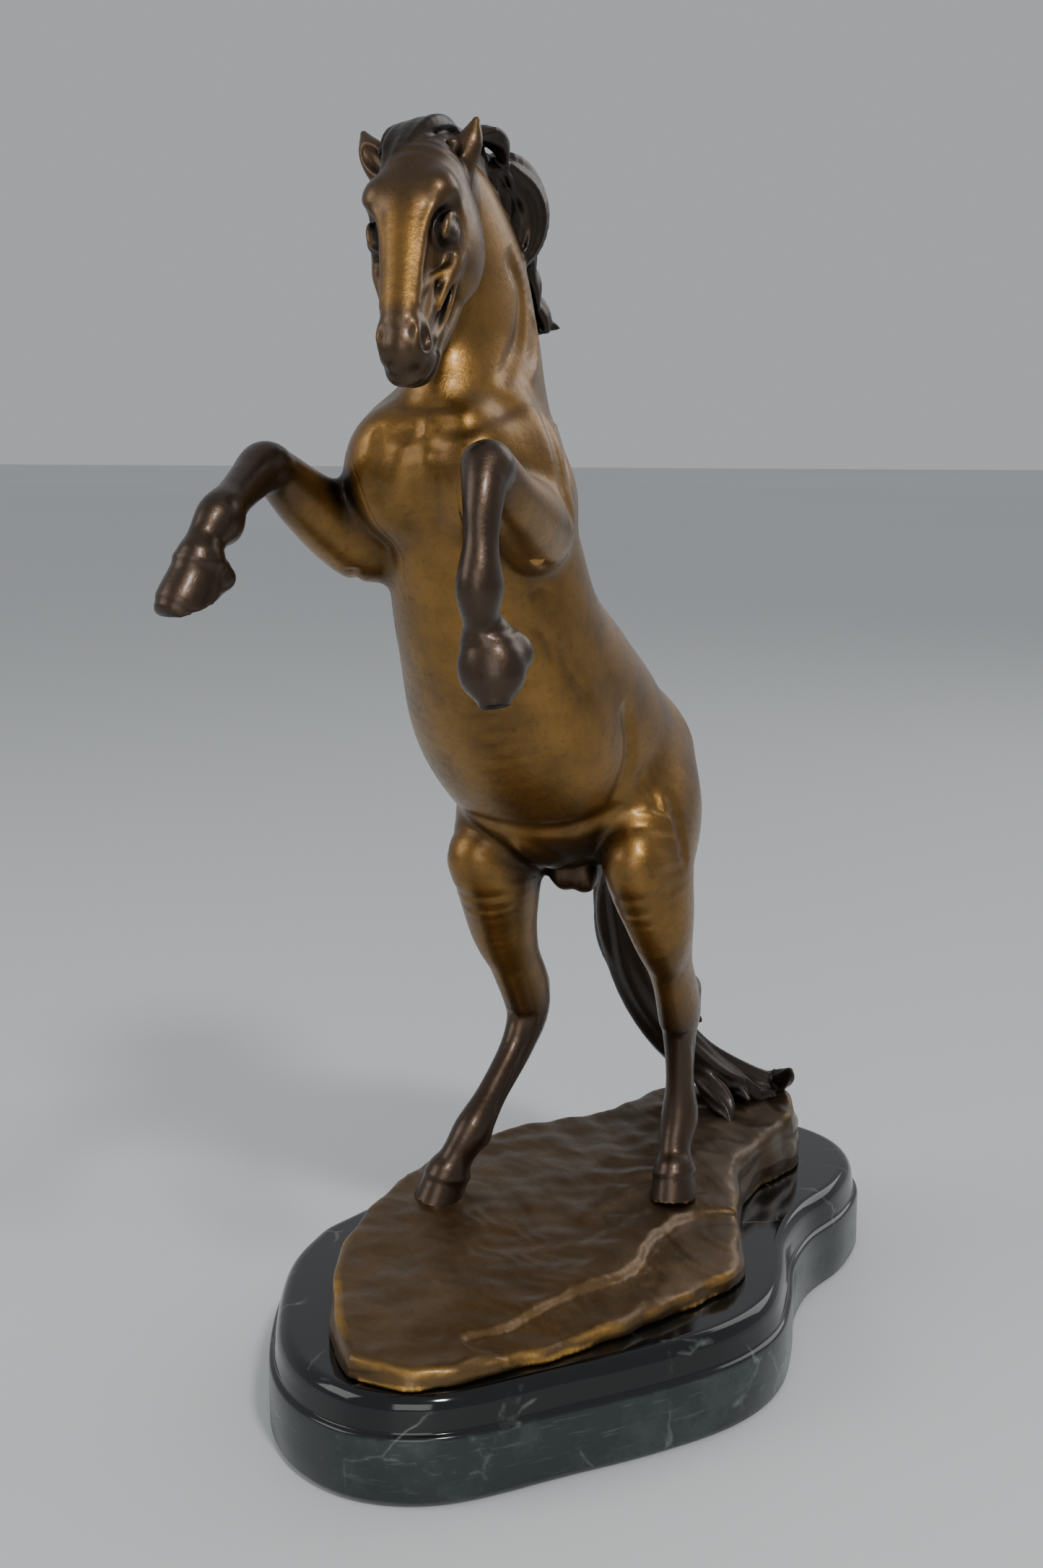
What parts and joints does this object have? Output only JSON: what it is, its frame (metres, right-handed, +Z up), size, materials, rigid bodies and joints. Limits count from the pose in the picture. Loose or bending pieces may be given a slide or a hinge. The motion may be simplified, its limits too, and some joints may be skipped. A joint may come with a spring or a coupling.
{
  "type": "horse statuette",
  "caption": "Rearing horse cast in bronze, standing on its hind hooves and tail on a rocky ground, over a free-form black marble base with a moulded edge.",
  "frame": {"origin": "on the plane that the felt rests on, below the horse's stance", "axes": "+Z up from the felt, the horse faces -Y and its left side is +X"},
  "size_m": [0.148, 0.2881, 0.3521],
  "materials": {
    "black_marble": "polished black marble with thin pale veins",
    "felt": "pressed wool felt",
    "steel_hardware": "zinc plated steel",
    "ground_bronze": "dark brown patina over bronze, rubbed gold along the edges",
    "coat_bronze": "waxed golden brown patina over bronze, darker in the hollows and down the legs",
    "hair_bronze": "black brown patina over bronze, waxed",
    "bronze_rod": "raw drawn bronze",
    "brass_hardware": "turned brass"
  },
  "bodies": {
    "root": {"marble_base": "black_marble", "felt_pad": "felt", "base_screws": "steel_hardware", "base_washers": "steel_hardware", "ground_casting": "ground_bronze", "body_casting": "coat_bronze", "neck_casting": "coat_bronze", "neck_pins": "bronze_rod", "core_plugs": "bronze_rod", "right_foreleg_casting": "coat_bronze", "left_foreleg_casting": "coat_bronze", "right_hind_leg_casting": "coat_bronze", "left_hind_leg_casting": "coat_bronze", "tail_casting": "hair_bronze", "foreleg_dowels": "bronze_rod", "thigh_dowels": "bronze_rod", "tail_dowel": "bronze_rod", "ground_studs": "brass_hardware", "stud_washers": "brass_hardware", "stud_nuts": "brass_hardware"}
  },
  "joints": []
}
